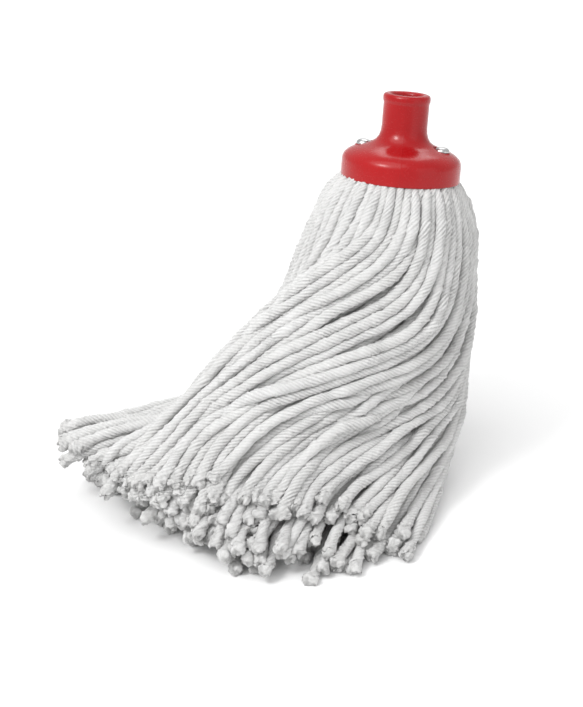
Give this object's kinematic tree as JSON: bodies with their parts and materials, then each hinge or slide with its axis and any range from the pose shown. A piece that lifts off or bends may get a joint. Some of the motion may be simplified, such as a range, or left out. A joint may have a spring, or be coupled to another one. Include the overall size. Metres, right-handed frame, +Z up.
{
  "type": "string mop head",
  "caption": "String mop head: a red moulded handle socket with a skirted flange, riveted over folded cotton yarn that stands and sweeps to one side.",
  "frame": {"origin": "middle of the bounding box on the floor the yarn stands on, z = 0", "axes": "+Z up from the floor; the yarn sweeps towards -X and its cut ends face -Y; the socket leans about 11 degrees from +Z, towards +Y and +X"},
  "size_m": [0.2812, 0.2239, 0.2756],
  "materials": {
    "red_plastic": "glossy moulded",
    "rivet_steel": "bright plated",
    "bar_steel": "dull zinc plated",
    "cotton_yarn": "soft twisted multi-ply cotton"
  },
  "bodies": {
    "root": {"head_moulding": "red_plastic", "rivet_left": "rivet_steel", "rivet_right": "rivet_steel", "clamp_bar": "bar_steel", "yarn_fold_pad": "cotton_yarn", "yarn_lock_01": "cotton_yarn", "yarn_lock_02": "cotton_yarn", "yarn_lock_03": "cotton_yarn", "yarn_lock_04": "cotton_yarn", "yarn_lock_05": "cotton_yarn", "yarn_lock_06": "cotton_yarn", "yarn_lock_07": "cotton_yarn", "yarn_lock_08": "cotton_yarn", "yarn_lock_09": "cotton_yarn", "yarn_lock_10": "cotton_yarn", "yarn_lock_11": "cotton_yarn", "yarn_lock_12": "cotton_yarn", "yarn_lock_13": "cotton_yarn", "yarn_lock_14": "cotton_yarn", "yarn_lock_15": "cotton_yarn", "yarn_lock_16": "cotton_yarn", "yarn_lock_17": "cotton_yarn", "yarn_lock_18": "cotton_yarn", "yarn_lock_19": "cotton_yarn", "yarn_lock_20": "cotton_yarn", "yarn_lock_21": "cotton_yarn", "yarn_lock_22": "cotton_yarn", "yarn_lock_23": "cotton_yarn", "yarn_lock_24": "cotton_yarn", "yarn_lock_25": "cotton_yarn", "yarn_lock_26": "cotton_yarn", "yarn_lock_27": "cotton_yarn", "yarn_lock_28": "cotton_yarn", "yarn_lock_29": "cotton_yarn", "yarn_lock_30": "cotton_yarn", "yarn_lock_31": "cotton_yarn", "yarn_lock_32": "cotton_yarn", "yarn_lock_33": "cotton_yarn", "yarn_lock_34": "cotton_yarn", "yarn_lock_35": "cotton_yarn", "yarn_lock_36": "cotton_yarn"}
  },
  "joints": []
}
